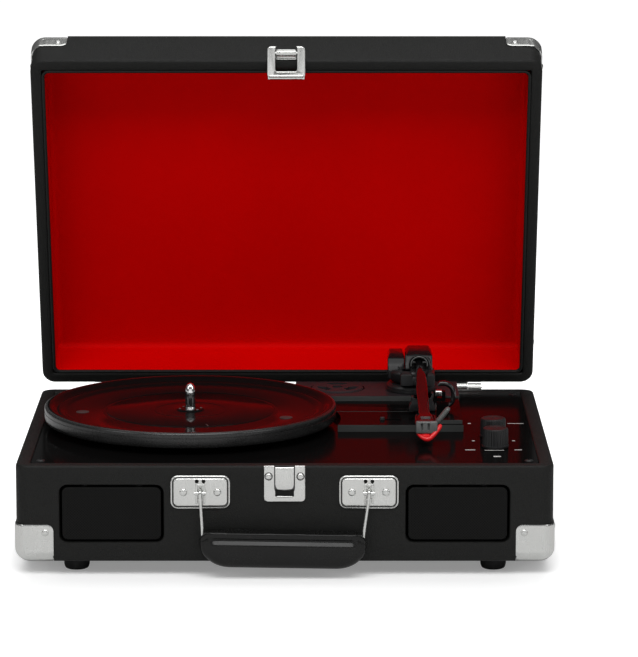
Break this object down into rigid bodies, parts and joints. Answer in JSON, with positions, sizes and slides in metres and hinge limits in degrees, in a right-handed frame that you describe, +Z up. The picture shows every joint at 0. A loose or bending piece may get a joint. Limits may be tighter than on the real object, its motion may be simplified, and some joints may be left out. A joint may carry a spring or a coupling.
{
  "type": "suitcase record player",
  "caption": "Belt-driven record player in a black leatherette suitcase with a hinged lid, carrying handle, catch, tonearm and front speakers.",
  "frame": {"origin": "on the floor under the middle of the open object's overall box", "axes": "+X to the right as seen from the front, +Y to the back, +Z up"},
  "size_m": [0.358, 0.3152, 0.3363],
  "materials": {
    "leatherette": "grained black leatherette over board",
    "deck_plastic": "glossy black moulding",
    "black_plastic": "satin black moulding",
    "grille_cloth": "finely perforated black panel",
    "speaker_parts": "black frame, cone and magnet",
    "foot_rubber": "black rubber",
    "nickel": "bright nickel-plated steel",
    "chrome": "polished",
    "motor_steel": "plain zinc-plated",
    "brass": "turned",
    "board": "green circuit board",
    "liner_red": "smooth red lining",
    "stylus_red": "red moulding",
    "platter_plastic": "glossy black moulding",
    "belt_rubber": "black rubber"
  },
  "bodies": {
    "base": {"base_case": "leatherette", "deck_plate": "deck_plastic", "left_speaker_grille": "grille_cloth", "right_speaker_grille": "grille_cloth", "left_speaker": "speaker_parts", "right_speaker": "speaker_parts", "front_left_base_corner": "nickel", "front_right_base_corner": "nickel", "back_left_base_corner": "nickel", "back_right_base_corner": "nickel", "front_left_foot": "foot_rubber", "front_right_foot": "foot_rubber", "back_left_foot": "foot_rubber", "back_right_foot": "foot_rubber", "latch_plate": "nickel", "left_handle_bracket": "nickel", "right_handle_bracket": "nickel", "rear_jack_panel": "black_plastic", "dc_inlet": "black_plastic", "circuit_board": "board", "spindle": "chrome", "spindle_bearing": "brass", "motor": "motor_steel", "drive_belt": "belt_rubber", "tonearm_base": "black_plastic", "arm_rest": "black_plastic", "volume_control": "motor_steel", "pitch_control": "motor_steel", "left_hinge_base_leaf": "nickel", "right_hinge_base_leaf": "nickel", "left_hinge_pin": "chrome", "right_hinge_pin": "chrome"},
    "lid": {"lid_case": "leatherette", "lid_liner": "liner_red", "front_left_lid_corner": "nickel", "front_right_lid_corner": "nickel", "back_left_lid_corner": "nickel", "back_right_lid_corner": "nickel", "hasp_mount": "nickel", "left_hinge_lid_leaf": "nickel", "right_hinge_lid_leaf": "nickel"},
    "hasp": {"hasp_ring": "nickel"},
    "catch_tongue": {"latch_tongue": "nickel"},
    "handle": {"handle_grip": "black_plastic", "left_handle_bail": "nickel", "right_handle_bail": "nickel"},
    "platter": {"platter": "platter_plastic"},
    "pulley": {"motor_pulley": "brass"},
    "adapter": {"adapter_45": "black_plastic"},
    "arm_block": {"tonearm_yoke": "black_plastic", "tonearm_pivot_pin": "motor_steel"},
    "tonearm": {"tonearm_tube": "black_plastic", "cartridge": "black_plastic", "stylus": "stylus_red"},
    "clip": {"rest_clip": "black_plastic"},
    "lever": {"cue_lever": "nickel"},
    "volume": {"volume_knob": "black_plastic"},
    "pitch": {"pitch_knob": "black_plastic"},
    "speed": {"speed_switch": "black_plastic"},
    "autostop": {"autostop_switch": "black_plastic"}
  },
  "joints": [
    {"name": "lid_hinge", "type": "hinge", "parent": "base", "child": "lid", "pos_m": [0, 0.1196, 0.07545], "axis": [-1, 0, 0], "range_deg": [-71, 0]},
    {"name": "hasp_hang", "type": "hinge", "parent": "lid", "child": "hasp", "pos_m": [0, 0.03275, 0.32846], "axis": [-1, 0, 0], "range_deg": [0, 71]},
    {"name": "catch_press", "type": "slide", "parent": "base", "child": "catch_tongue", "axis": [0, 1, 0], "range_m": [0, 0.0008], "stiffness_N_per_m": 900},
    {"name": "handle_swing", "type": "hinge", "parent": "base", "child": "handle", "pos_m": [0, -0.1467, 0.0573], "axis": [-1, 0, 0], "range_deg": [0, 120]},
    {"name": "platter_spin", "type": "hinge", "parent": "base", "child": "platter", "pos_m": [-0.0663, -0.0101, 0.084], "axis": [0, 0, 1], "continuous": true},
    {"name": "motor_spin", "type": "hinge", "parent": "base", "child": "pulley", "pos_m": [-0.0203, 0.0519, 0.0785], "axis": [0, 0, 1], "continuous": true},
    {"name": "adapter_lift", "type": "slide", "parent": "base", "child": "adapter", "axis": [0, 0, 1], "range_m": [0, 0.02]},
    {"name": "tonearm_swing", "type": "hinge", "parent": "base", "child": "arm_block", "pos_m": [0.0885, 0.0739, 0.095], "axis": [0, 0, -1], "range_deg": [0, 47]},
    {"name": "tonearm_lift", "type": "hinge", "parent": "arm_block", "child": "tonearm", "pos_m": [0.094, 0.0739, 0.1026], "axis": [-1, 0, 0], "range_deg": [0, 12]},
    {"name": "rest_clip_swing", "type": "hinge", "parent": "base", "child": "clip", "pos_m": [0.1085, 0.0039, 0.0845], "axis": [0, -1, 0], "range_deg": [0, 20]},
    {"name": "cue_lever_turn", "type": "hinge", "parent": "base", "child": "lever", "pos_m": [0.1079, 0.0449, 0.0857], "axis": [1, 0, 0], "range_deg": [0, 40]},
    {"name": "volume_turn", "type": "hinge", "parent": "base", "child": "volume", "pos_m": [0.1415, -0.0821, 0.081], "axis": [0, 0, -1], "range_deg": [-135, 135]},
    {"name": "pitch_turn", "type": "hinge", "parent": "base", "child": "pitch", "pos_m": [0.1415, -0.0491, 0.081], "axis": [0, 0, -1], "range_deg": [-135, 135]},
    {"name": "speed_select", "type": "slide", "parent": "base", "child": "speed", "axis": [1, 0, 0], "range_m": [-0.011, 0]},
    {"name": "autostop_select", "type": "slide", "parent": "base", "child": "autostop", "axis": [1, 0, 0], "range_m": [0, 0.011]}
  ],
  "couplings": [
    {"joint": "hasp_hang", "follows": "lid_hinge", "ratio": -1},
    {"joint": "motor_spin", "follows": "platter_spin", "ratio": 7.3175},
    {"joint": "tonearm_lift", "follows": "tonearm_swing", "ratio": 0.25}
  ]
}
